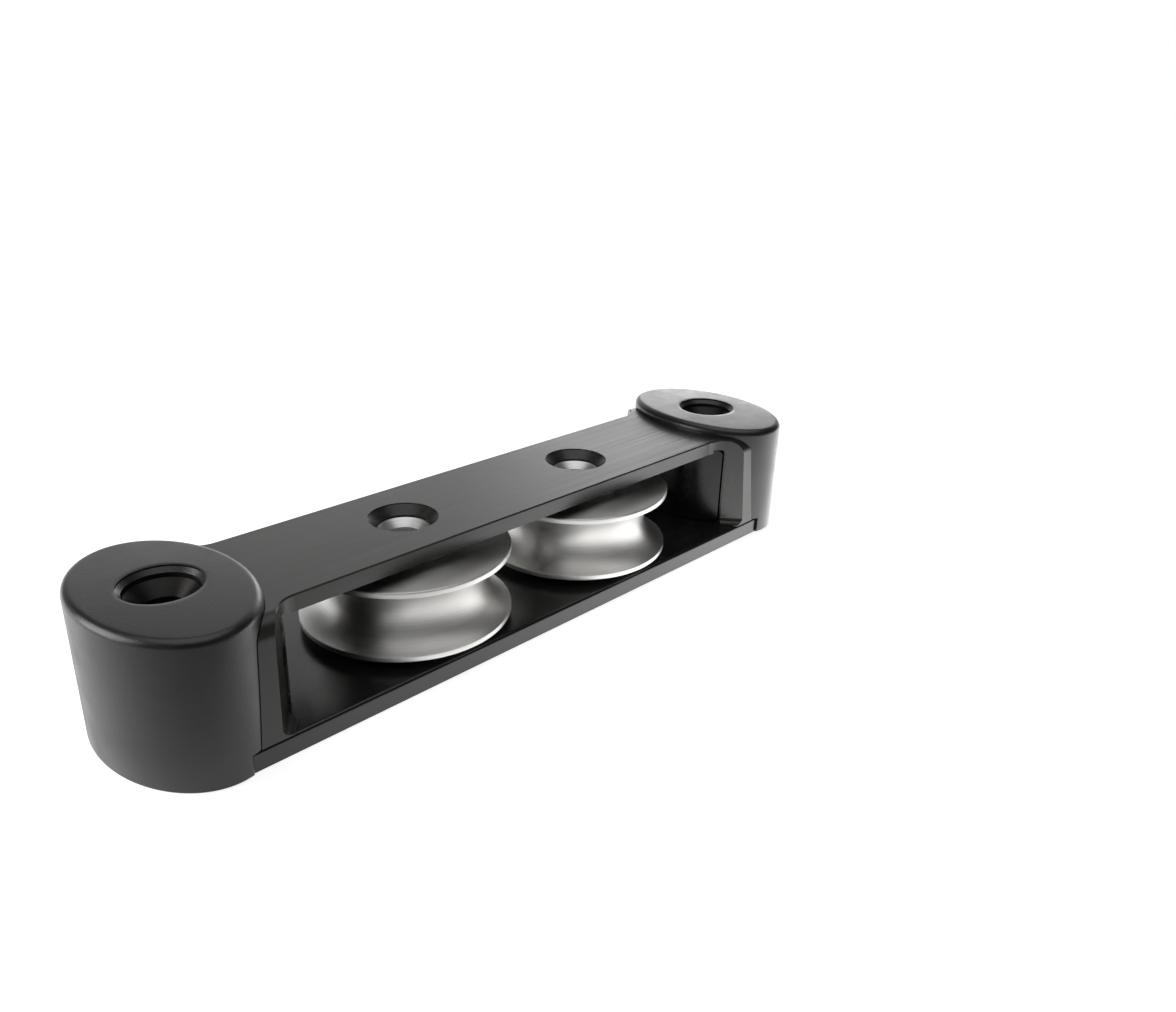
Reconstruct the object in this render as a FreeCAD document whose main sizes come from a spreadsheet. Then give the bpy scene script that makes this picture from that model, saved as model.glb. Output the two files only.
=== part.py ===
import FreeCAD, Part
import math
import os
import Sketcher

# A rope deck organizer: two grooved sheaves that turn on hollow axles between a base plate and
# a machined top frame, with an oval moulded cap at each end.
# Origin: middle of the underside. +X runs along the bar, -Y is the front, +Z is up. Millimetres.

doc = FreeCAD.newDocument("RopeOrganizer")
Vector = FreeCAD.Vector

# Driving dimensions: name, value, meaning
SIZES = [
    ("hole_pitch", 56.8, "distance between neighbouring fixing holes"),
    ("fixing_radius", 4.2, "clearance hole for the fixing bolts"),
    ("seat_gap", 0.1, "gap between fitted pieces that do not move"),
    ("running_gap", 0.05, "radial gap between axle and bearing liner"),
    ("axial_gap", 0.3, "gap between a turning sheave and each thrust washer"),
    ("base_width", 47.5, "base plate width"),
    ("base_thick", 4.4, "base plate thickness"),
    ("base_end_setback", 3.0, "base plate's square end, inboard of the end hole"),
    ("base_edge_radius", 0.8, "rounding of the base plate's long top edges"),
    ("window_height", 21.85, "clear height between base plate and top plate"),
    ("plate_thick", 3.75, "top plate thickness"),
    ("plate_width", 32.0, "top plate width between the legs"),
    ("plate_edge_break", 0.3, "chamfer along the top plate's upper edges"),
    ("head_width", 47.4, "frame width across the foot of a leg"),
    ("head_top_width", 44.6, "frame width at the top of a leg"),
    ("head_setback", 9.6, "where the leg's front face ends at its foot, inboard of the end hole"),
    ("head_top_radius", 4.0, "rounding of the frame's shoulders"),
    ("flare_length", 6.45, "flare between top plate and leg, along the bar"),
    ("flare_radius", 6.0, "inner radius where the top plate flares out"),
    ("sole_radius", 1.8, "fillet where a flare meets the base plate"),
    ("sole_thick", 0.25, "edge of the sole that carries the fillet"),
    ("leg_window_width", 37.2, "width of the window end inside a leg"),
    ("leg_face_setback", 18.5, "leg's window face at mid width, inboard of the end hole"),
    ("leg_face_radius", 31.8, "plan radius of the leg's window face"),
    ("foot_thick", 4.0, "thickness of the frame's foot under the cap"),
    ("foot_inset", 1.0, "how far inside the leg's window face the foot's root lies"),
    ("tongue_width", 24.0, "width of the tongues that run under the cap"),
    ("cap_length", 32.8, "end cap, along the bar"),
    ("cap_width", 49.4, "end cap, across the bar"),
    ("cap_height", 33.0, "end cap height at the rim of its hole"),
    ("cap_crown", 0.6, "fall of the cap's top from its middle to its tips"),
    ("cap_edge_radius", 1.8, "rounding of the cap's top edge"),
    ("cap_gap", 0.15, "seam between cap and frame"),
    ("cap_mouth_radius", 8.2, "mouth of the hole in the cap"),
    ("cap_mouth_depth", 0.5, "straight part of the mouth"),
    ("bush_radius", 7.2, "outside of the end bush"),
    ("bush_drop", 2.35, "bush top below the cap's top"),
    ("bush_rim", 0.15, "flat ring round the bush's countersink"),
    ("cheek_face_setback", 20.2, "wear cheek's face, inboard of the end hole"),
    ("cheek_flat", 6.0, "flat middle of the wear cheek's face"),
    ("cheek_end_thick", 0.9, "thickness of the wear cheek's ends"),
    ("cheek_end_gap", 1.0, "shadow gap at each end of the wear cheek"),
    ("cheek_end_radius", 1.5, "rounding of the wear cheek's four corners, seen along the bar"),
    ("cheek_relief", 1.0, "depth of the pocket that holds the cheek's top"),
    ("cheek_relief_margin", 1.4, "pocket's width in front of the cheek"),
    ("cheek_edge_radius", 0.4, "rounding of the wear cheek's upright front edges"),
    ("sheave_radius", 25.0, "sheave outside radius"),
    ("sheave_height", 17.25, "sheave height over its flanges"),
    ("rim_thick", 1.4, "flange thickness at the rim"),
    ("rim_edge_radius", 0.4, "rounding of the flange rims"),
    ("groove_depth", 5.8, "depth of the rope groove"),
    ("hub_rise", 1.0, "hub above the upper flange"),
    ("hub_radius", 12.0, "outside of the raised hub"),
    ("washer_thick", 1.5, "thrust washer thickness"),
    ("washer_radius", 11.5, "thrust washer outside radius"),
    ("liner_wall", 1.5, "wall of the sheave's bearing liner"),
    ("axle_radius", 8.0, "axle barrel radius"),
    ("spigot_radius", 6.1, "turned-down ends of the axle"),
    ("axle_drop", 2.8, "axle top below the top plate's surface"),
    ("axle_rim", 0.1, "flat ring round the axle's countersink"),
    ("swage_flare", 0.9, "how far the axle's foot is flared"),
    ("swage_recess", 0.3, "axle foot above the underside"),
    ("plate_mouth_radius", 8.15, "mouth of the top plate's countersink"),
    ("plate_mouth_depth", 0.3, "straight part of that mouth"),
    ("screw_setback", 8.5, "cap screw, inboard of the end hole"),
    ("screw_offset", 7.5, "cap screw, off the centre line"),
    ("screw_radius", 2.0, "cap screw shank radius"),
    ("screw_head_radius", 3.6, "cap screw head radius"),
    ("screw_reach", 8.0, "cap screw length inside the cap"),
]

sheet = doc.addObject("Spreadsheet::Sheet", "sizes")
for row, (alias, number, meaning) in enumerate(SIZES, start=1):
    sheet.set(f"A{row}", meaning)
    sheet.set(f"B{row}", str(number))
    sheet.setAlias(f"B{row}", alias)
doc.recompute()


def formula(text):
    """Write every size's name in a formula with the sheet's name before it."""
    words = {alias for alias, number, meaning in SIZES}
    out, word = "", ""
    for letter in text + " ":
        if letter.isalnum() or letter == "_":
            word += letter
            continue
        out += f"sizes.{word}" if word in words else word
        out += letter
        word = ""
    return out.strip()


def size(text):
    """The present value of a formula of sizes, in millimetres."""
    answer = sheet.evalExpression(formula(text))
    return float(getattr(answer, "Value", answer))


# Heights and lengths that follow from the driving dimensions
WINDOW_TOP = "(base_thick + window_height)"
PLATE_TOP = "(base_thick + window_height + plate_thick)"
FOOT_TOP = "(base_thick + foot_thick)"
END_X = "(hole_pitch * 1.5)"
SHEAVE_X = "(hole_pitch / 2)"
SHEAVE_LOW = "(base_thick + washer_thick + axial_gap)"
SHEAVE_TOP = "(base_thick + washer_thick + axial_gap + sheave_height)"
HUB_TOP = "(base_thick + washer_thick + axial_gap + sheave_height + hub_rise)"
CHEEK_HALF = "(leg_window_width / 2 - cheek_end_gap)"


def make_body(name):
    body = doc.addObject("PartDesign::Body", name)
    body.Label = name
    return body


def origin_plane(body, role):
    for feature in body.Origin.OriginFeatures:
        if feature.Role == role:
            return feature
    raise ValueError(role)


def make_sketch(body, name, role="XY_Plane", height="0", along="0"):
    """A sketch on one of the body's own planes, lifted and shifted along the bar by formulas."""
    sketch = body.newObject("Sketcher::SketchObject", name)
    sketch.AttachmentSupport = [(origin_plane(body, role), "")]
    sketch.MapMode = "FlatFace"
    if height != "0":
        sketch.setExpression(".AttachmentOffset.Base.z", formula(height))
    if along != "0":
        sketch.setExpression(".AttachmentOffset.Base.x", formula(along))
    return sketch


def bind(sketch, constraint, text):
    index = sketch.addConstraint(constraint)
    sketch.setExpression(f"Constraints[{index}]", formula(text))


def place_point(sketch, geometry, end, x_text, y_text):
    """Hold a point of the sketch at formulas for x and y. Zero means on the axis itself."""
    for text, kind, axis in ((x_text, "DistanceX", -2), (y_text, "DistanceY", -1)):
        if text == "0":
            sketch.addConstraint(Sketcher.Constraint("PointOnObject", geometry, end, axis))
        else:
            bind(sketch, Sketcher.Constraint(kind, -1, 1, geometry, end, size(text)), text)


def arc_between(start, end, radius, turn):
    """An arc from start to end. turn is +1 for counter-clockwise and -1 for clockwise."""
    middle = (start + end) * 0.5
    chord = end - start
    rise = math.sqrt(max(radius ** 2 - (chord.Length / 2) ** 2, 0))
    side = Vector(-chord.y, chord.x, 0).normalize() * turn
    centre = middle + side * rise
    first, last = (start, end) if turn > 0 else (end, start)
    begin = math.atan2(first.y - centre.y, first.x - centre.x)
    finish = math.atan2(last.y - centre.y, last.x - centre.x)
    if finish <= begin:
        finish += 2 * math.pi
    return Part.ArcOfCircle(Part.Circle(centre, Vector(0, 0, 1), radius), begin, finish)


def draw_loop(sketch, corners):
    """A closed outline. A corner is (x, y), or (x, y, radius, turn) where an arc leaves it.

    A radius of "half circle" is an arc over the whole distance to the next corner.
    """
    points = [Vector(size(corner[0]), size(corner[1]), 0) for corner in corners]
    edges = []
    for index, corner in enumerate(corners):
        start, end = points[index], points[(index + 1) % len(points)]
        if len(corner) == 2:
            edge = sketch.addGeometry(Part.LineSegment(start, end), False)
            edges.append((edge, 1, 2))
        else:
            radius = (end - start).Length / 2 if corner[2] == "half circle" else size(corner[2])
            edge = sketch.addGeometry(arc_between(start, end, radius, corner[3]), False)
            edges.append((edge, 1, 2) if corner[3] > 0 else (edge, 2, 1))
    for index, corner in enumerate(corners):
        edge, begin, finish = edges[index]
        following, next_begin, next_finish = edges[(index + 1) % len(edges)]
        sketch.addConstraint(Sketcher.Constraint("Coincident", edge, finish, following, next_begin))
    for index, corner in enumerate(corners):
        edge, begin, finish = edges[index]
        place_point(sketch, edge, begin, corner[0], corner[1])
        if len(corner) == 2:
            continue
        if corner[2] != "half circle":
            bind(sketch, Sketcher.Constraint("Radius", edge, size(corner[2])), corner[2])
        elif corner[0] == "0":
            sketch.addConstraint(Sketcher.Constraint("PointOnObject", edge, 3, -2))
        else:
            bind(sketch, Sketcher.Constraint("DistanceX", -1, 1, edge, 3, size(corner[0])), corner[0])


def draw_circle(sketch, x_text, y_text, radius):
    centre = Vector(size(x_text), size(y_text), 0)
    edge = sketch.addGeometry(Part.Circle(centre, Vector(0, 0, 1), size(radius)), False)
    place_point(sketch, edge, 3, x_text, y_text)
    bind(sketch, Sketcher.Constraint("Radius", edge, size(radius)), radius)


def draw_oval(sketch, x_text, length, width):
    """An ellipse on the centre line, longer across the bar than along it."""
    centre = Vector(size(x_text), 0, 0)
    half_length, half_width = size(length) / 2, size(width) / 2
    oval = Part.Ellipse(centre + Vector(0, half_width, 0), centre + Vector(half_length, 0, 0), centre)
    edge = sketch.addGeometry(oval, False)
    sketch.exposeInternalGeometry(edge)
    long_axis, short_axis = edge + 1, edge + 2
    sketch.addConstraint(Sketcher.Constraint("Vertical", long_axis))
    bind(sketch, Sketcher.Constraint("Distance", long_axis, 2 * half_width), width)
    bind(sketch, Sketcher.Constraint("Distance", short_axis, 2 * half_length), length)
    place_point(sketch, edge, 3, x_text, "0")


def add_feature(body, kind, name, sketch, length):
    feature = body.newObject(f"PartDesign::{kind}", name)
    feature.Profile = sketch
    feature.setExpression("Length", formula(length))
    feature.Refine = True
    sketch.Visibility = False
    return feature


def pad(body, name, sketch, length):
    return add_feature(body, "Pad", name, sketch, length)


def pocket_up(body, name, sketch, length):
    """Cut upward from the sketch."""
    feature = add_feature(body, "Pocket", name, sketch, length)
    feature.Reversed = True
    return feature


def pocket_across(body, name, sketch):
    """Cut along the whole bar, both ways from the sketch."""
    feature = add_feature(body, "Pocket", name, sketch, f"{END_X} * 2")
    feature.Midplane = True
    return feature


def turned(body, kind, name, sketch):
    """A full turn of the sketch about its upright axis: Revolution adds and Groove cuts."""
    feature = body.newObject(f"PartDesign::{kind}", name)
    feature.Profile = sketch
    feature.ReferenceAxis = (sketch, ["V_Axis"])
    feature.Angle = 360
    feature.Refine = True
    return feature


def round_edges(body, kind, name, chosen, amount):
    """Fillet or Chamfer the edges of the body's last feature that chosen(edge) picks."""
    doc.recompute()
    base = body.Tip
    picked = [f"Edge{n}" for n, edge in enumerate(base.Shape.Edges, start=1) if chosen(edge)]
    if not picked:
        raise ValueError(f"{body.Label}: no edge for {name}")
    feature = body.newObject(f"PartDesign::{kind}", name)
    feature.Base = (base, picked)
    feature.setExpression("Radius" if kind == "Fillet" else "Size", formula(amount))
    feature.Refine = True
    return feature


def near(value, text, slack=0.01):
    return abs(value - size(text)) < slack


def flat_at(edge, height):
    """True for an edge that lies level at a height."""
    box = edge.BoundBox
    return near(box.ZMin, height) and near(box.ZMax, height)


def turned_piece(name, corners, x_text):
    """A piece of revolution whose half section is (radius, height) corners, standing at x."""
    body = make_body(name)
    body.setExpression(".Placement.Base.x", formula(x_text))
    sketch = make_sketch(body, f"{name}_section", "XZ_Plane")
    draw_loop(sketch, corners)
    turned(body, "Revolution", f"{name}_turned", sketch)
    return body


def tongue_outline(sketch, side, inner_end):
    """The outline of the tongue round an end hole. inner_end is its two inboard corners."""
    centre = f"{side} * {END_X}"
    draw_loop(sketch, [
        (centre, "-tongue_width / 2", "half circle", side),
        (centre, "tongue_width / 2"),
    ] + inner_end)


# Base plate

base = make_body("base_plate")
outline = make_sketch(base, "base_outline")
base_end = f"({END_X} - base_end_setback)"
draw_loop(outline, [
    (f"-{base_end}", "-base_width / 2"),
    (base_end, "-base_width / 2"),
    (base_end, "base_width / 2"),
    (f"-{base_end}", "base_width / 2"),
])
pad(base, "base_bar", outline, "base_thick")
for side, word in ((-1, "left"), (1, "right")):
    tongue = make_sketch(base, f"base_tongue_{word}_outline")
    inner = f"{side} * ({END_X} - base_end_setback * 2)"
    tongue_outline(tongue, side, [(inner, "tongue_width / 2"), (inner, "-tongue_width / 2")])
    pad(base, f"base_tongue_{word}", tongue, "base_thick")
round_edges(
    base, "Fillet", "base_edges",
    lambda edge: flat_at(edge, "base_thick") and near(abs(edge.CenterOfMass.y), "base_width / 2"),
    "base_edge_radius",
)
holes = make_sketch(base, "base_holes_outline")
for side in (-1, 1):
    draw_circle(holes, f"{side} * {SHEAVE_X}", "0", "spigot_radius + running_gap")
    draw_circle(holes, f"{side} * {END_X}", "0", "fixing_radius")
    for across in (-1, 1):
        draw_circle(
            holes, f"{side} * ({END_X} - screw_setback)", f"{across} * screw_offset",
            "screw_radius + seat_gap",
        )
pocket_up(base, "base_holes", holes, "base_thick + 1")
round_edges(
    base, "Chamfer", "base_swage_seats",
    lambda edge: flat_at(edge, "0") and near(edge.BoundBox.XLength, "2 * (spigot_radius + running_gap)"),
    "swage_flare + swage_recess + running_gap",
)
round_edges(
    base, "Chamfer", "base_screw_seats",
    lambda edge: flat_at(edge, "0") and near(edge.BoundBox.XLength, "2 * (screw_radius + seat_gap)"),
    "screw_head_radius - screw_radius + seat_gap",
)

# Top frame: the plate, its two legs and their feet

frame = make_body("top_frame")
flare_rise = "((head_width - plate_width) / 2)"
flare_x = f"({END_X} - head_setback - flare_length)"
head_x = f"({END_X} - head_setback)"
leg_edge_x = f"({head_x} - flare_length * (head_width - leg_window_width) / 2 / {flare_rise})"
end_stop = f"({END_X} - base_end_setback + cap_gap)"
outline = make_sketch(frame, "frame_outline", height="base_thick")
corners = []
for x_side, y_side in ((1, -1), (1, 1), (-1, 1), (-1, -1)):
    quarter = [
        (f"{x_side} * {flare_x}", f"{y_side} * plate_width / 2"),
        (f"{x_side} * {head_x}", f"{y_side} * head_width / 2"),
        (f"{x_side} * {end_stop}", f"{y_side} * head_width / 2"),
    ]
    corners += quarter if x_side * y_side < 0 else quarter[::-1]
draw_loop(outline, corners)
pad(frame, "frame_bar", outline, "window_height + plate_thick")
round_edges(
    frame, "Fillet", "flares",
    lambda edge: near(abs(edge.CenterOfMass.x), flare_x)
    and near(abs(edge.CenterOfMass.y), "plate_width / 2")
    and near(edge.BoundBox.ZLength, "window_height + plate_thick"),
    "flare_radius",
)
window = make_sketch(frame, "window_outline", height="base_thick")
leg_back_x = (
    f"(leg_face_setback - leg_face_radius + sqrt(leg_face_radius ^ 2 - (leg_window_width / 2) ^ 2))"
)
corners = []
for side in (1, -1):
    inner, edge_x = f"{side} * ({END_X} - {leg_back_x})", f"{side} * {leg_edge_x}"
    corners += [
        (edge_x, f"-{side} * head_width"),
        (edge_x, f"-{side} * leg_window_width / 2"),
        (inner, f"-{side} * leg_window_width / 2", "leg_face_radius", -1),
        (inner, f"{side} * leg_window_width / 2"),
        (edge_x, f"{side} * leg_window_width / 2"),
        (edge_x, f"{side} * head_width"),
    ]
draw_loop(window, corners)
pocket_up(frame, "window", window, "window_height")
soles = make_sketch(frame, "sole_outline", height="base_thick")
flare_span = f"sqrt(flare_length ^ 2 + {flare_rise} ^ 2)"
curve_reach = f"(flare_radius * ({flare_span} - flare_length) / {flare_rise} * flare_length / {flare_span})"
sole_end_x = f"max({leg_edge_x}; {flare_x} + {curve_reach})"
sole_end_y = f"(plate_width / 2 + ({sole_end_x} - {flare_x}) * {flare_rise} / flare_length)"
sole_reach = "(sole_radius + seat_gap)"
sole_x = f"({sole_reach} * {flare_rise} / {flare_span})"
sole_y = f"({sole_reach} * flare_length / {flare_span})"
for x_side in (-1, 1):
    for y_side in (-1, 1):
        draw_loop(soles, [
            (f"{x_side} * {head_x}", f"{y_side} * head_width / 2"),
            (f"{x_side} * {sole_end_x}", f"{y_side} * {sole_end_y}"),
            (f"{x_side} * ({sole_end_x} - {sole_x})", f"{y_side} * ({sole_end_y} + {sole_y})"),
            (f"{x_side} * ({head_x} - {sole_x})", f"{y_side} * (head_width / 2 + {sole_y})"),
        ])
pad(frame, "soles", soles, "sole_thick")
round_edges(
    frame, "Fillet", "sole_fillets",
    lambda edge: flat_at(edge, "base_thick + sole_thick")
    and near(abs(edge.CenterOfMass.x), f"({head_x} + {sole_end_x}) / 2"),
    "sole_radius",
)
round_edges(
    frame, "Chamfer", "plate_edge_breaks",
    lambda edge: flat_at(edge, PLATE_TOP) and abs(edge.CenterOfMass.x) < size(head_x),
    "plate_edge_break",
)
slopes = make_sketch(frame, "leg_slope_section", "YZ_Plane")
for side in (-1, 1):
    outside = f"{side} * (head_width / 2 + sole_radius * 2)"
    draw_loop(slopes, [
        (f"{side} * head_width / 2", "base_thick"),
        (f"{side} * head_top_width / 2", PLATE_TOP),
        (f"{side} * head_top_width / 2", f"{PLATE_TOP} + 1"),
        (outside, f"{PLATE_TOP} + 1"),
        (outside, "base_thick"),
    ])
pocket_across(frame, "leg_slopes", slopes)
round_edges(
    frame, "Fillet", "shoulders",
    lambda edge: flat_at(edge, PLATE_TOP) and near(abs(edge.CenterOfMass.y), "head_top_width / 2"),
    "head_top_radius",
)
recess = make_sketch(frame, "cap_recess_outline", height="base_thick")
for side in (-1, 1):
    draw_oval(recess, f"{side} * {END_X}", "cap_length + 2 * cap_gap", "cap_width + 2 * cap_gap")
pocket_up(frame, "cap_recess", recess, "window_height + plate_thick + 1")
for side, word in ((-1, "left"), (1, "right")):
    foot = make_sketch(frame, f"foot_{word}_outline", height="base_thick")
    root_radius = "(leg_face_radius - foot_inset)"
    root_x = (
        f"{side} * ({END_X} - leg_face_setback + leg_face_radius"
        f" - sqrt({root_radius} ^ 2 - (tongue_width / 2) ^ 2))"
    )
    tongue_outline(foot, side, [
        (root_x, "tongue_width / 2", root_radius, side),
        (root_x, "-tongue_width / 2"),
    ])
    pad(frame, f"foot_{word}", foot, "foot_thick")
holes = make_sketch(frame, "foot_holes_outline", height="base_thick")
for side in (-1, 1):
    draw_circle(holes, f"{side} * {END_X}", "0", "fixing_radius")
    for across in (-1, 1):
        draw_circle(
            holes, f"{side} * ({END_X} - screw_setback)", f"{across} * screw_offset",
            "screw_radius + seat_gap",
        )
pocket_up(frame, "foot_holes", holes, "foot_thick + 1")


def cheek_outline(sketch, side, spare="0"):
    """A wear cheek in plan: a flat face with round shoulders in front of the leg's curved face.

    The answer is how far inboard of the end hole the front of its ends lies.
    """
    half = CHEEK_HALF if spare == "0" else "(leg_window_width / 2)"
    back_radius = "(leg_face_radius + seat_gap)" if spare == "0" else "leg_face_radius"
    back_face = f"(leg_face_setback + {'seat_gap' if spare == '0' else '0'})"
    back_x = f"({back_face} - {back_radius} + sqrt({back_radius} ^ 2 - {half} ^ 2))"
    face = f"(cheek_face_setback + {spare})"
    end_x = f"({back_x} + cheek_end_thick + {spare})"
    rise = f"({half} - cheek_flat / 2)"
    shoulder = f"(({rise} ^ 2 + ({face} - {end_x}) ^ 2) / 2 / ({face} - {end_x}))"
    at_back, at_end, at_face = (f"{side} * ({END_X} - {text})" for text in (back_x, end_x, face))
    draw_loop(sketch, [
        (at_back, f"-{half}"),
        (at_end, f"-{half}", shoulder, -side),
        (at_face, "-cheek_flat / 2"),
        (at_face, "cheek_flat / 2", shoulder, -side),
        (at_end, half),
        (at_back, half, back_radius, side),
    ])
    return end_x


relief = make_sketch(frame, "cheek_relief_outline", height=WINDOW_TOP)
for side in (-1, 1):
    cheek_outline(relief, side, "cheek_relief_margin")
pocket_up(frame, "cheek_reliefs", relief, "cheek_relief")
mouth_low = f"({PLATE_TOP} - plate_mouth_depth)"
for side, word in ((-1, "left"), (1, "right")):
    hole = make_sketch(frame, f"plate_hole_{word}_section", "XZ_Plane", along=f"{side} * {SHEAVE_X}")
    draw_loop(hole, [
        ("0", f"{WINDOW_TOP} - 1"),
        ("spigot_radius + running_gap", f"{WINDOW_TOP} - 1"),
        ("spigot_radius + running_gap", f"{mouth_low} - (plate_mouth_radius - spigot_radius - running_gap)"),
        ("plate_mouth_radius", mouth_low),
        ("plate_mouth_radius", f"{PLATE_TOP} + 1"),
        ("0", f"{PLATE_TOP} + 1"),
    ])
    turned(frame, "Groove", f"plate_hole_{word}", hole)

# End caps: an oval block, crowned on top, cut out below for the tongues and the base plate

for side, word in ((-1, "left"), (1, "right")):
    cap = make_body(f"end_cap_{word}")
    cap.setExpression(".Placement.Base.x", formula(f"{side} * {END_X}"))
    outline = make_sketch(cap, f"cap_{word}_outline")
    draw_oval(outline, "0", "cap_length", "cap_width")
    pad(cap, f"cap_{word}_block", outline, "cap_height")
    crown = make_sketch(cap, f"cap_{word}_crown_section", "XZ_Plane")
    crown_radius = "(cap_width ^ 2 / 8 / cap_crown)"
    crown_reach = "(cap_width / 2 + 1)"
    crown_low = f"(cap_height - {crown_radius} + sqrt({crown_radius} ^ 2 - {crown_reach} ^ 2))"
    draw_loop(crown, [
        ("0", "cap_height", crown_radius, -1),
        (crown_reach, crown_low),
        (crown_reach, "cap_height + 1"),
        ("0", "cap_height + 1"),
    ])
    turned(cap, "Groove", f"cap_{word}_crown", crown)
    round_edges(
        cap, "Fillet", f"cap_{word}_top_edge",
        lambda edge: edge.BoundBox.ZMin > size("cap_height / 2") and edge.BoundBox.YLength > 1,
        "cap_edge_radius",
    )
    notch = make_sketch(cap, f"cap_{word}_notch_outline")
    notch_end, notch_reach = "(base_end_setback - seat_gap * 4)", "cap_length"
    half = "(base_width / 2 + cap_width)"
    draw_loop(notch, [
        (f"{-side} * {notch_end}", f"-{half}"),
        (f"{-side} * {notch_reach}", f"-{half}"),
        (f"{-side} * {notch_reach}", half),
        (f"{-side} * {notch_end}", half),
    ])
    pocket_up(cap, f"cap_{word}_notch", notch, "base_thick + cap_gap")
    slot = make_sketch(cap, f"cap_{word}_slot_outline")
    half = "(tongue_width / 2 + cap_gap)"
    draw_loop(slot, [
        ("0", f"-{half}", "half circle", side),
        ("0", half),
        (f"{-side} * cap_length", half),
        (f"{-side} * cap_length", f"-{half}"),
    ])
    pocket_up(cap, f"cap_{word}_slot", slot, f"{FOOT_TOP} + cap_gap")
    hole = make_sketch(cap, f"cap_{word}_hole_section", "XZ_Plane")
    mouth_low = "(cap_height - cap_mouth_depth)"
    draw_loop(hole, [
        ("0", f"{FOOT_TOP} - 1"),
        ("bush_radius + seat_gap", f"{FOOT_TOP} - 1"),
        ("bush_radius + seat_gap", f"{mouth_low} - (cap_mouth_radius - bush_radius - seat_gap)"),
        ("cap_mouth_radius", mouth_low),
        ("cap_mouth_radius", "cap_height + 1"),
        ("0", "cap_height + 1"),
    ])
    turned(cap, "Groove", f"cap_{word}_hole", hole)
    pilots = make_sketch(cap, f"cap_{word}_pilot_outline", height=FOOT_TOP)
    for across in (-1, 1):
        draw_circle(
            pilots, f"{-side} * screw_setback", f"{across} * screw_offset",
            "screw_radius + seat_gap / 2",
        )
    pocket_up(cap, f"cap_{word}_pilots", pilots, "screw_reach + seat_gap")

    # The bush inside the cap, with a countersunk top
    bush_top = "(cap_height - bush_drop)"
    turned_piece(f"end_bush_{word}", [
        ("fixing_radius", FOOT_TOP),
        ("bush_radius", FOOT_TOP),
        ("bush_radius", bush_top),
        ("bush_radius - bush_rim", bush_top),
        ("fixing_radius", f"{bush_top} - (bush_radius - bush_rim - fixing_radius)"),
    ], f"{side} * {END_X}")

    # The wear cheek stands on the base plate with its top in the frame's pocket
    cheek = make_body(f"wear_cheek_{word}")
    outline = make_sketch(cheek, f"cheek_{word}_outline", height="base_thick")
    cheek_end = cheek_outline(outline, side)
    pad(cheek, f"cheek_{word}_block", outline, "window_height + cheek_relief - seat_gap")
    corners = make_sketch(cheek, f"cheek_{word}_corner_section", "YZ_Plane")
    cheek_top = f"({WINDOW_TOP} + cheek_relief - seat_gap)"
    straight = f"({CHEEK_HALF} - cheek_end_radius)"
    draw_loop(corners, [
        (f"-{straight}", "base_thick"),
        (straight, "base_thick", "cheek_end_radius", 1),
        (CHEEK_HALF, "base_thick + cheek_end_radius"),
        (CHEEK_HALF, f"{cheek_top} - cheek_end_radius", "cheek_end_radius", 1),
        (straight, cheek_top),
        (f"-{straight}", cheek_top, "cheek_end_radius", 1),
        (f"-{CHEEK_HALF}", f"{cheek_top} - cheek_end_radius"),
        (f"-{CHEEK_HALF}", "base_thick + cheek_end_radius", "cheek_end_radius", 1),
    ])
    draw_loop(corners, [
        (f"-({CHEEK_HALF} + 1)", "base_thick - 1"),
        (f"{CHEEK_HALF} + 1", "base_thick - 1"),
        (f"{CHEEK_HALF} + 1", f"{cheek_top} + 1"),
        (f"-({CHEEK_HALF} + 1)", f"{cheek_top} + 1"),
    ])
    pocket_across(cheek, f"cheek_{word}_corners", corners)
    round_edges(
        cheek, "Fillet", f"cheek_{word}_ends",
        lambda edge: near(abs(edge.CenterOfMass.y), CHEEK_HALF)
        and near(abs(edge.CenterOfMass.x), f"{END_X} - {cheek_end}")
        and edge.BoundBox.ZLength > size("window_height / 2"),
        "cheek_edge_radius",
    )

# Sheaves, their bearing liners, axles and thrust washers

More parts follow.
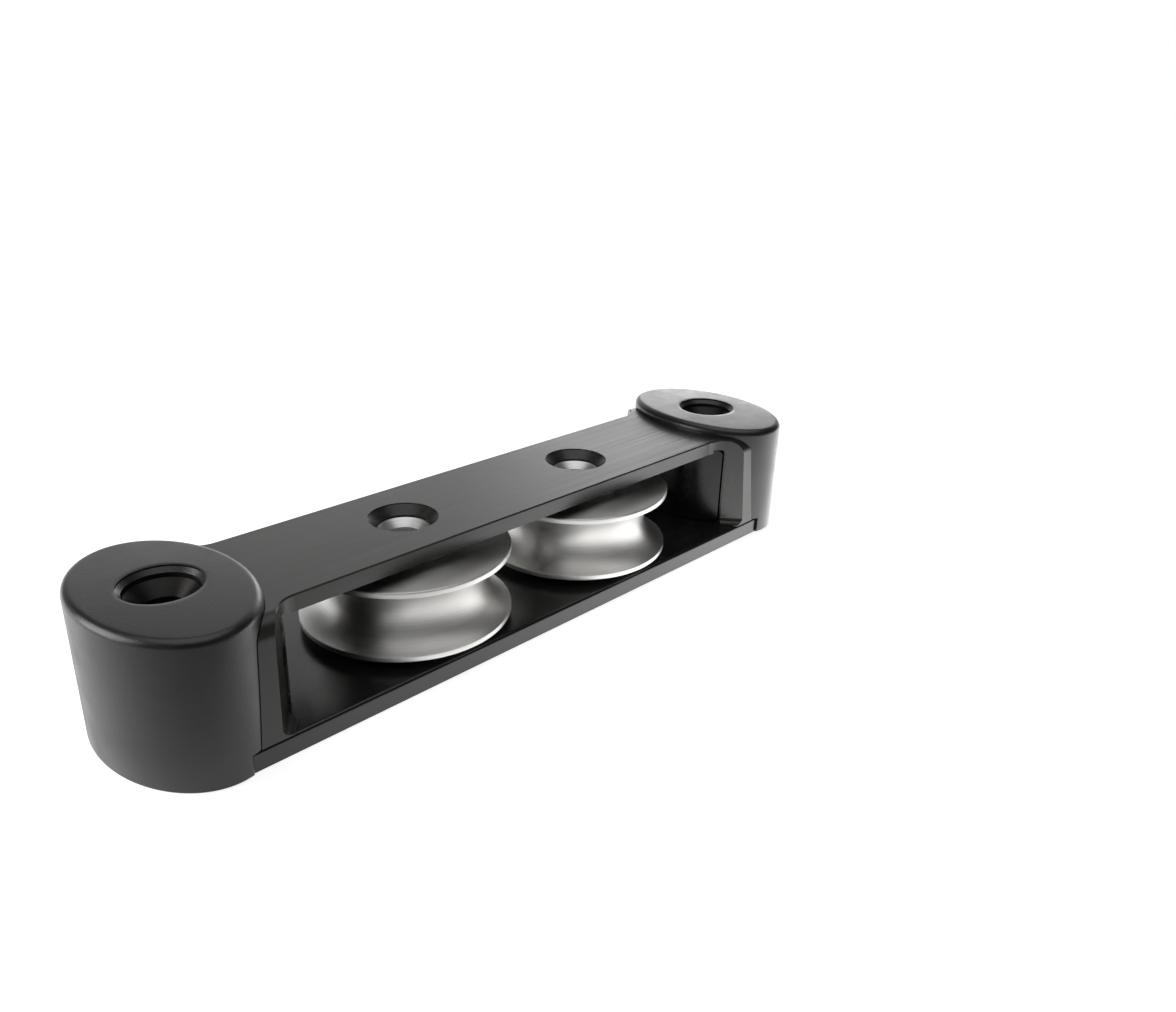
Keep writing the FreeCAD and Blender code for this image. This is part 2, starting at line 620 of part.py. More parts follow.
for side, word in ((-1, "left"), (1, "right")):
    at_sheave = f"{side} * {SHEAVE_X}"
    groove_half = "(sheave_height / 2 - rim_thick)"
    groove_radius = f"(({groove_half} ^ 2 + groove_depth ^ 2) / 2 / groove_depth)"
    bore = "(axle_radius + running_gap + liner_wall)"
    sheave = turned_piece(f"sheave_{word}", [
        (bore, SHEAVE_LOW),
        ("sheave_radius", SHEAVE_LOW),
        ("sheave_radius", f"{SHEAVE_LOW} + rim_thick", groove_radius, -1),
        ("sheave_radius", f"{SHEAVE_TOP} - rim_thick"),
        ("sheave_radius", SHEAVE_TOP),
        ("hub_radius", SHEAVE_TOP),
        ("hub_radius", HUB_TOP),
        (bore, HUB_TOP),
    ], at_sheave)
    round_edges(
        sheave, "Fillet", f"sheave_{word}_rims",
        lambda edge: near(edge.BoundBox.XLength, "2 * sheave_radius"),
        "rim_edge_radius",
    )
    turned_piece(f"sheave_bearing_{word}", [
        ("axle_radius + running_gap", SHEAVE_LOW),
        (f"{bore} - running_gap / 2", SHEAVE_LOW),
        (f"{bore} - running_gap / 2", HUB_TOP),
        ("axle_radius + running_gap", HUB_TOP),
    ], at_sheave)
    axle_top = f"({PLATE_TOP} - axle_drop)"
    turned_piece(f"axle_{word}", [
        ("fixing_radius", "swage_recess"),
        ("spigot_radius + swage_flare", "swage_recess"),
        ("spigot_radius", "swage_recess + swage_flare"),
        ("spigot_radius", "base_thick"),
        ("axle_radius", "base_thick"),
        ("axle_radius", WINDOW_TOP),
        ("spigot_radius", WINDOW_TOP),
        ("spigot_radius", axle_top),
        ("spigot_radius - axle_rim", axle_top),
        ("fixing_radius", f"{axle_top} - (spigot_radius - axle_rim - fixing_radius)"),
    ], at_sheave)
    for level, low in (("lower", "base_thick"), ("upper", f"({WINDOW_TOP} - washer_thick)")):
        turned_piece(f"thrust_washer_{word}_{level}", [
            ("axle_radius + seat_gap", low),
            ("washer_radius", low),
            ("washer_radius", f"{low} + washer_thick"),
            ("axle_radius + seat_gap", f"{low} + washer_thick"),
        ], at_sheave)

# Cap screws: four alike, driven from below through base plate and foot into the caps

screw_section = Part.makePolygon([
    Vector(0, 0, size("seat_gap")),
    Vector(size("screw_head_radius"), 0, size("seat_gap")),
    Vector(size("screw_radius"), 0, size("seat_gap + screw_head_radius - screw_radius")),
    Vector(size("screw_radius"), 0, size(f"{FOOT_TOP} + screw_reach - screw_radius / 2")),
    Vector(size("screw_radius / 2"), 0, size(f"{FOOT_TOP} + screw_reach")),
    Vector(0, 0, size(f"{FOOT_TOP} + screw_reach")),
    Vector(0, 0, size("seat_gap")),
])
screw = Part.Face(screw_section).revolve(Vector(0, 0, 0), Vector(0, 0, 1), 360)
placed = []
for side in (-1, 1):
    for across in (-1, 1):
        copy = screw.copy()
        screw_x = size(f"{side} * ({END_X} - screw_setback)")
        copy.translate(Vector(screw_x, size(f"{across} * screw_offset"), 0))
        placed.append(copy)
screws = doc.addObject("Part::Feature", "cap_screws")
screws.Label = "cap_screws"
screws.Shape = Part.makeCompound(placed)
screws.Placement = FreeCAD.Placement()

doc.recompute()
problems = []
for item in doc.Objects:
    if {"Invalid", "Error"} & set(item.State):
        problems.append(f"{item.Label}: {item.State}")
sub_parts = [item for item in doc.Objects if item.TypeId == "PartDesign::Body"] + [screws]
for item in sub_parts:
    if item.Shape.isNull() or not item.Shape.isValid() or not item.Shape.Solids:
        problems.append(f"{item.Label}: shape is not valid")
if problems:
    raise RuntimeError("; ".join(problems))

os.makedirs("parts", exist_ok=True)
for item in sub_parts:
    item.Shape.exportStep(f"parts/{item.Label}.step")
    box = item.Shape.BoundBox
    print(
        f"{item.Label}: {len(item.Shape.Solids)} solid, {item.Shape.Volume:.0f} mm3, "
        f"x {box.XMin:.2f} {box.XMax:.2f}, y {box.YMin:.2f} {box.YMax:.2f}, z {box.ZMin:.2f} {box.ZMax:.2f}"
    )
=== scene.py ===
import bmesh
import bpy
import math
from mathutils import Matrix, Vector


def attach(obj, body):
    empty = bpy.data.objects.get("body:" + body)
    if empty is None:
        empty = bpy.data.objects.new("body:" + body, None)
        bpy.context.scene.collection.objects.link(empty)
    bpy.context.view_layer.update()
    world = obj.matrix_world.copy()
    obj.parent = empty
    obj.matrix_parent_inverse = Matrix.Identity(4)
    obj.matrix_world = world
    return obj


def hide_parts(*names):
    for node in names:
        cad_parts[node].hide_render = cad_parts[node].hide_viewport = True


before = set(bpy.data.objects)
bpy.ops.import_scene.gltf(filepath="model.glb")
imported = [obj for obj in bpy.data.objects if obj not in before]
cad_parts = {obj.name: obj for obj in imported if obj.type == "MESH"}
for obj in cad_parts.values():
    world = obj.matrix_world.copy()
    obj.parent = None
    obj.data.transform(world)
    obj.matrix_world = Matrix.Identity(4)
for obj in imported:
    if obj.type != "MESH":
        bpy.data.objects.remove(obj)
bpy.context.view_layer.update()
mm = 0.001
sides = ((-1, "left"), (1, "right"))  # the sign of x, and the word in names
print("stage: frame loaded")


# Shared mesh helpers. Outlines are in millimetres and the meshes in metres.

def arcPoints(centre, radius, startDeg, endDeg, steps):
    points = []
    for step in range(steps + 1):
        angle = math.radians(startDeg + (endDeg - startDeg) * step / steps)
        points.append((centre[0] + radius * math.cos(angle), centre[1] + radius * math.sin(angle)))
    return points


def quarterTurn(steps):
    return [math.radians(90 * step / steps) for step in range(steps + 1)]


def roundCorners(corners, steps=5):
    # a corner is (x, y) or (x, y, radius); the outline is closed
    outline = []
    count = len(corners)
    for index, corner in enumerate(corners):
        here = Vector(corner[:2])
        radius = corner[2] if len(corner) > 2 else 0
        if not radius:
            outline.append(tuple(here))
            continue
        before = (Vector(corners[index - 1][:2]) - here).normalized()
        after = (Vector(corners[(index + 1) % count][:2]) - here).normalized()
        half = before.angle(after) / 2
        reach = radius / math.tan(half)
        centre = here + (before + after).normalized() * (radius / math.sin(half))
        first = here + before * reach - centre
        last = here + after * reach - centre
        for step in range(steps + 1):
            spoke = first.lerp(last, step / steps)
            outline.append(tuple(centre + spoke.normalized() * radius))
    return outline


def makePiece(name, vertices, faces, place=(0, 0, 0)):
    mesh = bpy.data.meshes.new(name)
    mesh.from_pydata([[value * mm for value in vertex] for vertex in vertices], [], faces)
    mesh.validate()
    piece = bpy.data.objects.new(name, mesh)
    piece.location = [value * mm for value in place]
    bpy.context.scene.collection.objects.link(piece)
    return piece


def tidyMesh(piece, sharpDeg=34, weldGap=0.002):
    shape = bmesh.new()
    shape.from_mesh(piece.data)
    bmesh.ops.remove_doubles(shape, verts=shape.verts, dist=weldGap * mm)
    bmesh.ops.recalc_face_normals(shape, faces=shape.faces)
    shape.to_mesh(piece.data)
    shape.free()
    piece.data.shade_smooth()
    piece.data.set_sharp_from_angle(angle=math.radians(sharpDeg))
    return piece


def ringPiece(name, rings, place=(0, 0, 0)):
    # rings of equal length, each joined to the next and the last to the first
    vertices = [point for ring in rings for point in ring]
    around = len(rings[0])
    faces = []
    for level in range(len(rings)):
        above = (level + 1) % len(rings)
        for step in range(around):
            beside = (step + 1) % around
            faces.append((level * around + step, level * around + beside,
                          above * around + beside, above * around + step))
    return tidyMesh(makePiece(name, vertices, faces, place))


def turnPiece(name, section, place=(0, 0, 0), segments=224):
    # section is a closed outline of (radius, height)
    rings = []
    for radius, height in section:
        rings.append([(radius * math.cos(math.tau * step / segments),
                       radius * math.sin(math.tau * step / segments), height)
                      for step in range(segments)])
    return ringPiece(name, rings, place)


def extrudePiece(name, outline, low, high, place=(0, 0, 0)):
    count = len(outline)
    vertices = [(x, y, low) for x, y in outline] + [(x, y, high) for x, y in outline]
    faces = [tuple(range(count))[::-1], tuple(range(count, 2 * count))]
    for step in range(count):
        beside = (step + 1) % count
        faces.append((step, beside, count + beside, count + step))
    return tidyMesh(makePiece(name, vertices, faces, place))


def cutPiece(piece, cutters):
    for cutter in cutters:
        cut = piece.modifiers.new("cut", "BOOLEAN")
        cut.operation = "DIFFERENCE"
        cut.solver = "EXACT"
        cut.object = cutter
    bpy.context.view_layer.update()
    graph = bpy.context.evaluated_depsgraph_get()
    baked = bpy.data.meshes.new_from_object(piece.evaluated_get(graph))
    piece.modifiers.clear()
    piece.data = baked
    for cutter in cutters:
        bpy.data.objects.remove(cutter)
    return tidyMesh(piece)


def coat(piece, material):
    piece.data.materials.clear()
    piece.data.materials.append(material)


def dress(piece, body, material, node):
    coat(piece, material)
    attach(piece, body)
    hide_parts(node)


# Shared material helpers

white = (1, 1, 1, 1)
noiseSpan = (0.3, 0.7)  # most of a noise lies between these
mixSockets = {"first": 6, "second": 7, "result": 2}  # a Mix node's colour sockets, by place


def grey(level):
    return (level, level, level)


class NodeGraph:
    # short calls for the nodes of a material or a world; surface is the node that they lead to
    def __init__(self, owner, surface):
        owner.use_nodes = True
        self.owner = owner
        self.tree = owner.node_tree
        self.surface = self.tree.nodes[surface]

    def node(self, kind, **settings):
        made = self.tree.nodes.new("ShaderNode" + kind)
        for key, value in settings.items():
            setattr(made, key, value)
        return made

    def link(self, source, target):
        self.tree.links.new(source, target)

    def put(self, socket, value):
        self.surface.inputs[socket].default_value = value

    def feed(self, socket, source):
        self.link(source, self.surface.inputs[socket])

    def place(self):
        return self.node("TexCoord").outputs["Object"]

    def stretch(self, vector, scale):
        made = self.node("Mapping")
        made.inputs["Scale"].default_value = scale
        self.link(vector, made.inputs["Vector"])
        return made.outputs["Vector"]

    def split(self, vector):
        made = self.node("SeparateXYZ")
        self.link(vector, made.inputs["Vector"])
        return made.outputs

    def join(self, **axes):
        made = self.node("CombineXYZ")
        for axis, source in axes.items():
            self.link(source, made.inputs[axis])
        return made.outputs["Vector"]

    def calculate(self, kind, operation, *values):
        # kind is Math or VectorMath, and each value is a socket or a constant
        made = self.node(kind, operation=operation)
        for target, value in zip(made.inputs, values):
            if isinstance(value, bpy.types.NodeSocket):
                self.link(value, target)
            else:
                target.default_value = value
        return made.outputs["Value"]

    def noise(self, vector, scale, detail=3.0, roughness=0.5):
        made = self.node("TexNoise")
        made.inputs["Scale"].default_value = scale
        made.inputs["Detail"].default_value = detail
        made.inputs["Roughness"].default_value = roughness
        self.link(vector, made.inputs["Vector"])
        return made.outputs["Fac"]

    def ramp(self, factor, levels, span=noiseSpan, **settings):
        # goes from the first level to the second as factor crosses the span
        made = self.node("MapRange", **settings)
        for name, value in zip(("From Min", "From Max", "To Min", "To Max"), (*span, *levels)):
            made.inputs[name].default_value = value
        self.link(factor, made.inputs["Value"])
        return made.outputs["Result"]

    def paint(self, pattern, facts):
        made = self.node("Mix", data_type="RGBA")
        made.inputs[mixSockets["first"]].default_value = (*facts["dark"], 1)
        made.inputs[mixSockets["second"]].default_value = (*facts["light"], 1)
        self.link(self.ramp(pattern, (0, 1)), made.inputs["Factor"])
        self.feed("Base Color", made.outputs[mixSockets["result"]])

    def emboss(self, pattern, facts):
        made = self.node("Bump")
        made.inputs["Strength"].default_value = facts["bump"]
        made.inputs["Distance"].default_value = facts["bumpDepth"]
        self.link(pattern, made.inputs["Height"])
        self.feed("Normal", made.outputs["Normal"])

    def machine(self, marks, clouds, facts):
        # tool marks set colour, gloss and relief, and soft clouds vary the gloss a little
        self.paint(marks, facts)
        rough = self.ramp(marks, facts["rough"])
        patches = self.ramp(clouds, facts["roughPatches"])
        self.feed("Roughness", self.calculate("Math", "MULTIPLY", rough, patches))
        self.emboss(marks, facts)


def newShader(name):
    return NodeGraph(bpy.data.materials.new(name), "Principled BSDF")


# Black anodised bar stock, brushed along its length

anodised = {
    "dark": (0.0125, 0.0115, 0.0100),
    "light": (0.0235, 0.0220, 0.0195),
    "rough": (0.26, 0.39),
    "roughPatches": (0.94, 1.06),  # shares of that roughness
    "specular": 0.5,
    "brushStretch": (14, 900, 900),  # long streaks along the bar
    "cloudScale": 35,
    "bump": 0.18,
    "bumpDepth": 0.0001,  # metres
}


def makeAnodised(name, facts):
    shader = newShader(name)
    shader.put("Specular IOR Level", facts["specular"])
    where = shader.place()
    streaks = shader.stretch(where, facts["brushStretch"])
    brushed = shader.noise(streaks, scale=1.0, detail=4.0, roughness=0.6)
    clouds = shader.noise(where, facts["cloudScale"])
    shader.machine(brushed, clouds, facts)
    return shader.owner


frameBlack = makeAnodised("frameBlack", anodised)
baseBlack = makeAnodised("baseBlack", {
    **anodised, "dark": grey(0.008), "light": grey(0.013), "rough": (0.18, 0.27), "bump": 0.08,
})


# Moulded plastic with a fine grain: black caps, dark cheeks, pale bearing liners

moulded = {
    "dark": grey(0.0095),
    "light": grey(0.0140),
    "rough": (0.27, 0.37),
    "specular": 0.5,
    "grainScale": 1900,
    "cloudScale": 170,
    "bump": 0.35,
    "bumpDepth": 0.00008,
}


def makeMoulded(name, facts):
    shader = newShader(name)
    shader.put("Specular IOR Level", facts["specular"])
    where = shader.place()
    grain = shader.noise(where, facts["grainScale"], detail=2.0, roughness=0.55)
    clouds = shader.noise(where, facts["cloudScale"], detail=4.0)
    shader.paint(clouds, facts)
    shader.feed("Roughness", shader.ramp(clouds, facts["rough"]))
    shader.emboss(grain, facts)
    return shader.owner


capBlack = makeMoulded("capBlack", moulded)
cheekGrey = makeMoulded("cheekGrey", {
    **moulded, "dark": grey(0.006), "light": grey(0.009), "rough": (0.22, 0.28),
    "specular": 0.25, "bump": 0.08,
})
linerPlastic = makeMoulded("linerPlastic", {
    **moulded, "dark": (0.52, 0.50, 0.45), "light": (0.60, 0.58, 0.52), "rough": (0.45, 0.52),
})


# Turned metal: fine rings round the axle

turnedMetal = {
    "dark": (0.55, 0.545, 0.53),
    "light": (0.65, 0.645, 0.63),
    "rough": (0.42, 0.46),
    "roughPatches": (0.92, 1.08),
    "anisotropic": 0.6,
    "spread": 0.25,  # a quarter turn, so that light spreads across the rings
    "ringStretch": (4500, 0, 4500),  # fine marks outward from the axle and up it, the same all round
    "cloudScale": 90,
    "bump": 0.09,
    "bumpDepth": 0.00005,
}


def makeTurned(name, facts):
    shader = newShader(name)
    shader.put("Metallic", 1.0)
    shader.put("Anisotropic", facts["anisotropic"])
    shader.put("Anisotropic Rotation", facts["spread"])
    where = shader.place()
    axes = shader.split(where)
    outward = shader.calculate("VectorMath", "LENGTH", shader.join(X=axes["X"], Y=axes["Y"]))
    unrolled = shader.stretch(shader.join(X=outward, Z=axes["Z"]), facts["ringStretch"])
    rings = shader.noise(unrolled, scale=1.0, roughness=0.6)
    clouds = shader.noise(where, facts["cloudScale"])
    shader.machine(rings, clouds, facts)
    shader.feed("Tangent", shader.node("Tangent", direction_type="RADIAL", axis="Z").outputs["Tangent"])
    return shader.owner


sheaveMetal = makeTurned("sheaveMetal", turnedMetal)
axleMetal = makeTurned("axleMetal", {
    **turnedMetal, "dark": grey(0.60), "light": grey(0.76), "rough": (0.36, 0.42),
    "anisotropic": 0.3, "ringStretch": (2500, 0, 2500), "bump": 0.08,
})
bushMetal = makeTurned("bushMetal", {
    **turnedMetal, "dark": (0.021, 0.020, 0.019), "light": (0.034, 0.033, 0.032), "rough": (0.38, 0.46),
})
print("stage: materials made")


# Pieces that keep their CAD solids

cadCoats = {
    "base_plate": baseBlack,
    "top_frame": frameBlack,
    "cap_screws": axleMetal,
}
for _, word in sides:
    cadCoats[f"wear_cheek_{word}"] = cheekGrey
    cadCoats[f"sheave_bearing_{word}"] = linerPlastic
    cadCoats[f"thrust_washer_{word}_lower"] = linerPlastic
    cadCoats[f"thrust_washer_{word}_upper"] = linerPlastic
for node, material in cadCoats.items():
    coat(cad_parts[node], material)
print("stage: CAD pieces coated")


# End caps: an oval shell with a crowned top and a countersunk hole

endX = 85.2

endCap = {
    "halfLength": 16.4,
    "halfWidth": 24.7,
    "height": 33.0,
    "crown": 0.6,
    "topRadius": 1.8,
    "footRadius": 0.35,
    "mouthRadius": 8.2,
    "mouthRound": 0.12,
    "mouthDepth": 0.5,
    "boreRadius": 7.3,
    "notchStart": 2.6,  # over the base plate's end
    "notchHeight": 4.55,
    "slotHalf": 12.15,  # round the base plate's tongue
    "slotHeight": 8.55,
    "cutterSpare": 5,  # how far a cutter reaches past the cap
    "cutterLow": -1,
    "around": 288,
    "footSteps": 3,
    "wallRings": (0.25, 0.5, 0.75),  # shares of the height
    "topSteps": 10,
    "crownSteps": 12,
    "slotSteps": 48,
}


def capRings(facts):
    # from the foot up the wall, over the top and down the hole
    outline, normals = [], []
    for step in range(facts["around"]):
        angle = math.tau * step / facts["around"]
        cosine, sine = math.cos(angle), math.sin(angle)
        outline.append(Vector((facts["halfLength"] * cosine, facts["halfWidth"] * sine)))
        normals.append(Vector((facts["halfWidth"] * cosine, facts["halfLength"] * sine)).normalized())
    rings = []

    def inset(amount):
        return [point - normal * amount for point, normal in zip(outline, normals)]

    def crownAt(x, y):
        return facts["height"] - facts["crown"] * (x * x + y * y) / facts["halfWidth"] ** 2

    foot = facts["footRadius"]
    for turn in quarterTurn(facts["footSteps"]):
        ring = inset(foot * (1 - math.sin(turn)))
        rings.append([(x, y, foot * (1 - math.cos(turn))) for x, y in ring])
    for share in facts["wallRings"]:
        rings.append([(x, y, facts["height"] * share) for x, y in outline])
    radius = facts["topRadius"]
    edge = inset(radius)
    for turn in quarterTurn(facts["topSteps"]):
        ring = inset(radius * (1 - math.cos(turn)))
        drop = radius * (1 - math.sin(turn))
        rings.append([(x, y, crownAt(*rim) - drop) for (x, y), rim in zip(ring, edge)])
    mouth = [point.normalized() * (facts["mouthRadius"] + facts["mouthRound"]) for point in edge]
    for step in range(1, facts["crownSteps"] + 1):
        share = step / facts["crownSteps"]
        ring = [point.lerp(target, share) for point, target in zip(edge, mouth)]
        rings.append([(x, y, crownAt(x, y)) for x, y in ring])
    ledge = facts["height"] - facts["mouthDepth"]
    cone = facts["mouthRadius"] - facts["boreRadius"]
    hole = [
        (facts["mouthRadius"], facts["height"] - facts["mouthRound"]),
        (facts["mouthRadius"], ledge),
        (facts["boreRadius"], ledge - cone),
        (facts["boreRadius"], 0),
    ]
    for radius, height in hole:
        rings.append([(*(point.normalized() * radius), height) for point in edge])
    return rings


def capCutters(facts, side, place):
    # both open towards the middle of the bar
    low = facts["cutterLow"]
    start = -side * facts["notchStart"]
    far = -side * (facts["halfLength"] + facts["cutterSpare"])
    wide = facts["halfWidth"] + facts["cutterSpare"]
    corners = [(start, -wide), (far, -wide), (far, wide), (start, wide)]
    notch = extrudePiece("notch", corners, low, facts["notchHeight"], place)
    half = facts["slotHalf"]
    tongue = [(side * -x, y) for x, y in arcPoints((0, 0), half, 90, 270, facts["slotSteps"])]
    tongue += [(far, -half), (far, half)]
    slot = extrudePiece("slot", tongue, low, facts["slotHeight"], place)
    return [notch, slot]


for side, word in sides:
    place = (side * endX, 0, 0)
    cap = ringPiece(f"capShell_{word}", capRings(endCap), place)
    cutPiece(cap, capCutters(endCap, side, place))
    dress(cap, "root", capBlack, f"end_cap_{word}")
print("stage: end caps built")


# End bushes: the countersunk ring that the deck screw pulls on

endBush = {
    "outerRadius": 7.2,
    "boreRadius": 4.2,
    "low": 8.4,
    "top": 30.65,
    "rim": 0.15,
    "rimRound": 0.08,
    "sinkRound": 0.15,
}

bushRim = endBush["outerRadius"] - endBush["rim"]
bushSink = endBush["top"] - (bushRim - endBush["boreRadius"])
bushSection = roundCorners([
    (endBush["boreRadius"], endBush["low"]),
    (endBush["outerRadius"], endBush["low"]),
    (endBush["outerRadius"], endBush["top"], endBush["rimRound"]),
    (bushRim, endBush["top"], endBush["rimRound"]),
    (endBush["boreRadius"], bushSink, endBush["sinkRound"]),
])
for side, word in sides:
    bush = turnPiece(f"bush_{word}", bushSection, (side * endX, 0, 0))
    dress(bush, "root", bushMetal, f"end_bush_{word}")
print("stage: end bushes built")


# Sheaves: turned wheels with a round rope groove

sheaveX = 28.4

sheave = {
    "radius": 25.0,
    "low": 6.2,
    "height": 17.25,
    "rim": 1.4,
    "rimRound": 0.4,
    "grooveDepth": 5.8,
    "lipRound": 0.15,
    "hubRadius": 12.0,
    "hubRise": 1.0,
    "hubFootRound": 0.3,
    "hubRound": 0.2,
    "boreRadius": 9.55,
    "boreRound": 0.2,
    "grooveSteps": 40,
    "segments": 320,
}

grooveHalf = sheave["height"] / 2 - sheave["rim"]
grooveRadius = (grooveHalf ** 2 + sheave["grooveDepth"] ** 2) / (2 * sheave["grooveDepth"])
grooveCentre = (sheave["radius"] - sheave["grooveDepth"] + grooveRadius, sheave["low"] + sheave["height"] / 2)
grooveTurn = math.degrees(math.asin(grooveHalf / grooveRadius))
grooveArc = arcPoints(grooveCentre, grooveRadius, 180 + grooveTurn, 180 - grooveTurn, sheave["grooveSteps"])
sheaveTop = sheave["low"] + sheave["height"]
hubTop = sheaveTop + sheave["hubRise"]
sheaveSection = roundCorners([
    (sheave["boreRadius"], sheave["low"], sheave["boreRound"]),
    (sheave["radius"], sheave["low"], sheave["rimRound"]),
    (*grooveArc[0], sheave["lipRound"]),
    *grooveArc[1:-1],
    (*grooveArc[-1], sheave["lipRound"]),
    (sheave["radius"], sheaveTop, sheave["rimRound"]),
    (sheave["hubRadius"], sheaveTop, sheave["hubFootRound"]),
    (sheave["hubRadius"], hubTop, sheave["hubRound"]),
    (sheave["boreRadius"], hubTop, sheave["boreRound"]),
])
for side, word in sides:
    wheel = turnPiece(f"wheel_{word}", sheaveSection, (side * sheaveX, 0, 0), sheave["segments"])
    dress(wheel, f"{word}_wheel", sheaveMetal, f"sheave_{word}")
print("stage: sheaves built")


# Axles: hollow, with a bright countersink above and a flared foot below

axle = {
    "barrelRadius": 8.0,
    "spigotRadius": 6.1,
    "boreRadius": 4.2,
    "plateTop": 4.4,
    "windowTop": 26.25,
    "top": 27.2,
    "rim": 0.1,
    "rimRound": 0.08,
    "sinkRound": 0.15,
    "footLow": 0.3,
    "flare": 0.9,
    "flareRound": 0.1,
    "edgeRound": 0.2,
}

axleRim = axle["spigotRadius"] - axle["rim"]
axleSink = axle["top"] - (axleRim - axle["boreRadius"])
axleSection = roundCorners([
    (axle["boreRadius"], axle["footLow"], axle["edgeRound"]),
    (axle["spigotRadius"] + axle["flare"], axle["footLow"], axle["flareRound"]),
    (axle["spigotRadius"], axle["footLow"] + axle["flare"]),
    (axle["spigotRadius"], axle["plateTop"]),
    (axle["barrelRadius"], axle["plateTop"], axle["edgeRound"]),
    (axle["barrelRadius"], axle["windowTop"], axle["edgeRound"]),
    (axle["spigotRadius"], axle["windowTop"]),
    (axle["spigotRadius"], axle["top"], axle["rimRound"]),
    (axleRim, axle["top"], axle["rimRound"]),
    (axle["boreRadius"], axleSink, axle["sinkRound"]),
])
for side, word in sides:
    shaft = turnPiece(f"shaft_{word}", axleSection, (side * sheaveX, 0, 0))
    dress(shaft, "root", axleMetal, f"axle_{word}")
print("stage: axles built")


# Studio: a pale floor that runs into a white background, a broad light overhead,
# a low one behind on the right and a small panel near the left end

studio = {
    "floorRadius": 6000.0,  # millimetres
    "floorLevel": -0.05,  # just clear of the underside
    "floorCorners": 64,
    "floorColour": 0.74,
    "floorRough": 0.9,
    "floorLift": 0.76,  # for what the camera sees, so the floor's far end is white too
    "glowTurn": -133.0,  # in reflections the floor glows, less and less in this direction
    "glowSpan": (-0.03, 0.115),  # metres in that direction
    "glowLevels": (2.1, 0.08),
    "glowDepth": (-0.03, 0.03),  # y in metres: the glow is stronger before the bar
    "glowShares": (1.4, 0.6),
    "backdropTurn": 43.0,  # degrees from +Y to +X, the middle of the bright backdrop
    "backdropSpan": (0.55, 1.0),  # cosine of the angle to that middle
    "backdropLevels": (0.08, 1.18),
    "key": {"power": 1.1, "turn": -133, "rise": 88, "soft": 66},
    "low": {"power": 0.28, "turn": 52, "rise": 10, "soft": 22},
    "left": {"level": 5.2, "place": (-0.22, 0.08, 0.085), "aim": (-0.085, 0, 0.015), "size": 0.12},
}


def turned(degrees, rise=0.0):
    # a direction: degrees from +Y towards +X, and up by rise
    flat = math.cos(math.radians(rise))
    return Vector((math.sin(math.radians(degrees)) * flat, math.cos(math.radians(degrees)) * flat,
                   math.sin(math.radians(rise))))


def layFloor(facts):
    ring = arcPoints((0, 0), facts["floorRadius"], 0, 360, facts["floorCorners"])[:-1]
    floor = makePiece("floor", [(x, y, facts["floorLevel"]) for x, y in ring], [tuple(range(len(ring)))])
    shader = newShader("floorPale")
    shader.put("Base Color", (*grey(facts["floorColour"]), 1))
    shader.put("Roughness", facts["floorRough"])
    shader.put("Specular IOR Level", 0.0)
    shader.put("Emission Color", white)
    where = shader.place()
    forward = shader.calculate("VectorMath", "DOT_PRODUCT", where, turned(facts["glowTurn"]))
    fading = shader.ramp(forward, facts["glowLevels"], facts["glowSpan"])
    sharing = shader.ramp(shader.split(where)["Y"], facts["glowShares"], facts["glowDepth"])
    glow = shader.calculate("Math", "MULTIPLY", fading, sharing)
    path = shader.node("LightPath").outputs
    reflected = shader.calculate("Math", "MULTIPLY", glow, path["Is Glossy Ray"])
    lifted = shader.calculate("Math", "MULTIPLY_ADD", path["Is Camera Ray"], facts["floorLift"], reflected)
    shader.feed("Emission Strength", lifted)
    coat(floor, shader.owner)


def lightWorld(facts):
    world = bpy.data.worlds.new("studioWorld")
    bpy.context.scene.world = world
    sky = NodeGraph(world, "Background")
    sky.put("Color", white)
    direction = sky.node("TexCoord").outputs["Generated"]
    towards = sky.calculate("VectorMath", "DOT_PRODUCT", direction, turned(facts["backdropTurn"]))
    backdrop = sky.ramp(towards, facts["backdropLevels"], facts["backdropSpan"],
                        interpolation_type="SMOOTHSTEP")
    seen = sky.node("LightPath").outputs["Is Camera Ray"]
    sky.feed("Strength", sky.calculate("Math", "MAXIMUM", backdrop, seen))


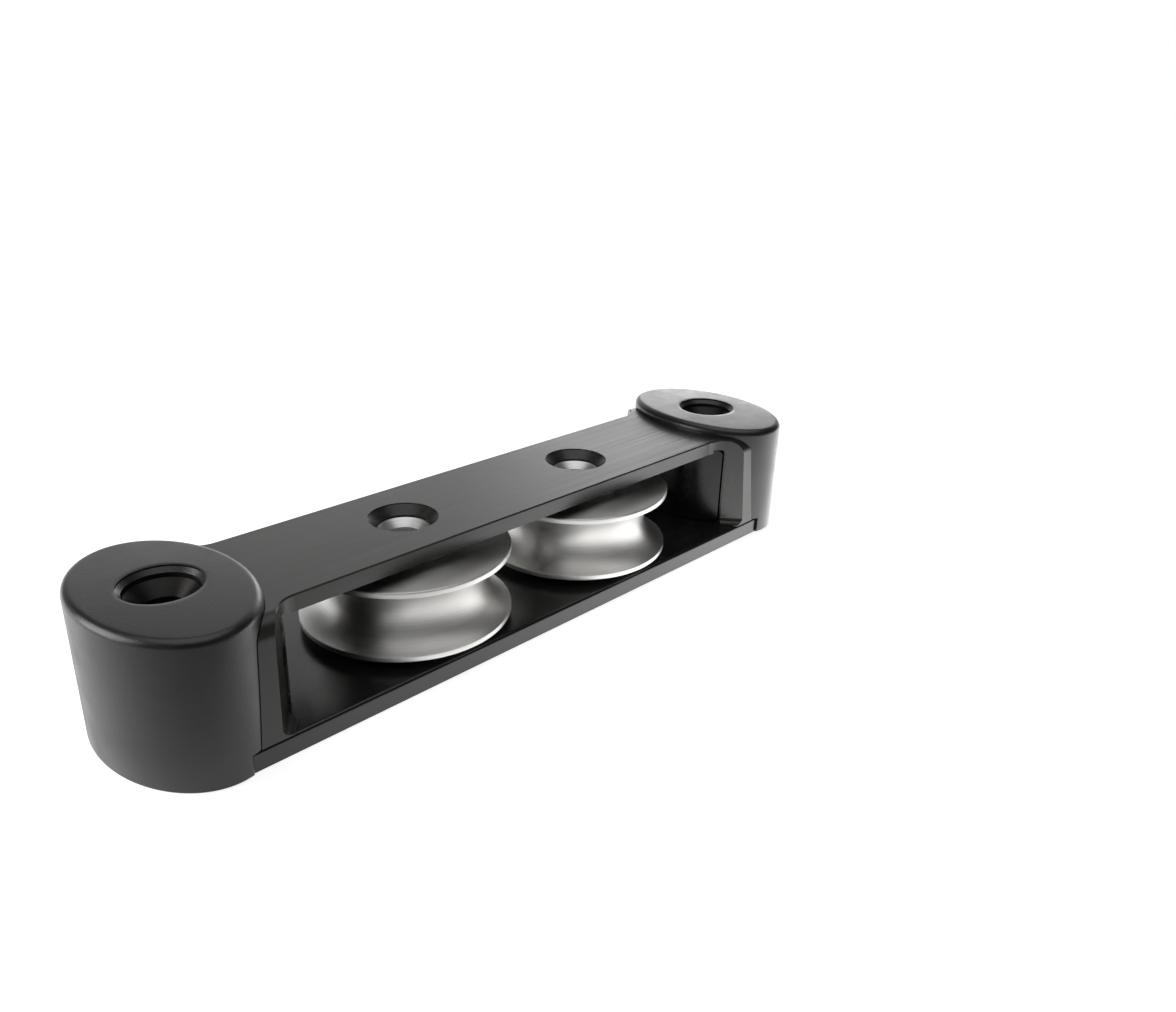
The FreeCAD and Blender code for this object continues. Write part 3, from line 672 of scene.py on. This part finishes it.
def hangLamp(name, lamp, origin):
    # origin is the direction that the light comes from
    holder = bpy.data.objects.new(name, lamp)
    holder.rotation_euler = origin.to_track_quat("Z", "Y").to_euler()
    bpy.context.scene.collection.objects.link(holder)
    return holder


def softLight(name, facts):
    lamp = bpy.data.lights.new(name, "SUN")
    lamp.energy = facts["power"]
    lamp.angle = math.radians(facts["soft"])
    hangLamp(name, lamp, turned(facts["turn"], facts["rise"]))


def nearLight(name, facts):
    # a small square panel; level is how bright its face is
    lamp = bpy.data.lights.new(name, "AREA")
    lamp.size = facts["size"]
    lamp.energy = facts["level"] * math.pi * facts["size"] ** 2
    holder = hangLamp(name, lamp, Vector(facts["place"]) - Vector(facts["aim"]))
    holder.location = facts["place"]
    holder.visible_camera = False


layFloor(studio)
lightWorld(studio)
softLight("keyLight", studio["key"])
softLight("lowLight", studio["low"])
nearLight("leftLight", studio["left"])
print("stage: studio lit")


# Camera at the photograph's viewing angle

view = {
    "azimuthDeg": -46.933,
    "elevationDeg": 23.428,
    "rollDeg": 2.09,
    "distance": 244.186,  # millimetres
    "target": (10.473, -21.922, 28.538),
    "focalPixels": 1001.84,
    "imageWidth": 1176,
    "sensorWidth": 36.0,
    "clipStart": 0.01,  # metres
}

azimuth = math.radians(view["azimuthDeg"])
elevation = math.radians(view["elevationDeg"])
roll = math.radians(view["rollDeg"])
backward = Vector((math.sin(azimuth) * math.cos(elevation),
                   -math.cos(azimuth) * math.cos(elevation), math.sin(elevation)))
sideways = Vector((0, 0, 1)).cross(backward).normalized()
upright = backward.cross(sideways)
across = sideways * math.cos(roll) + upright * math.sin(roll)
upward = upright * math.cos(roll) - sideways * math.sin(roll)
cameraData = bpy.data.cameras.new("camera")
cameraData.sensor_width = view["sensorWidth"]
cameraData.lens = view["focalPixels"] / view["imageWidth"] * view["sensorWidth"]
cameraData.clip_start = view["clipStart"]
camera = bpy.data.objects.new("camera", cameraData)
camera.matrix_world = Matrix((across, upward, backward)).transposed().to_4x4()
camera.location = (Vector(view["target"]) + backward * view["distance"]) * mm
bpy.context.scene.collection.objects.link(camera)
bpy.context.scene.camera = camera
bpy.context.scene.view_settings.view_transform = "Standard"
print("stage: camera set")
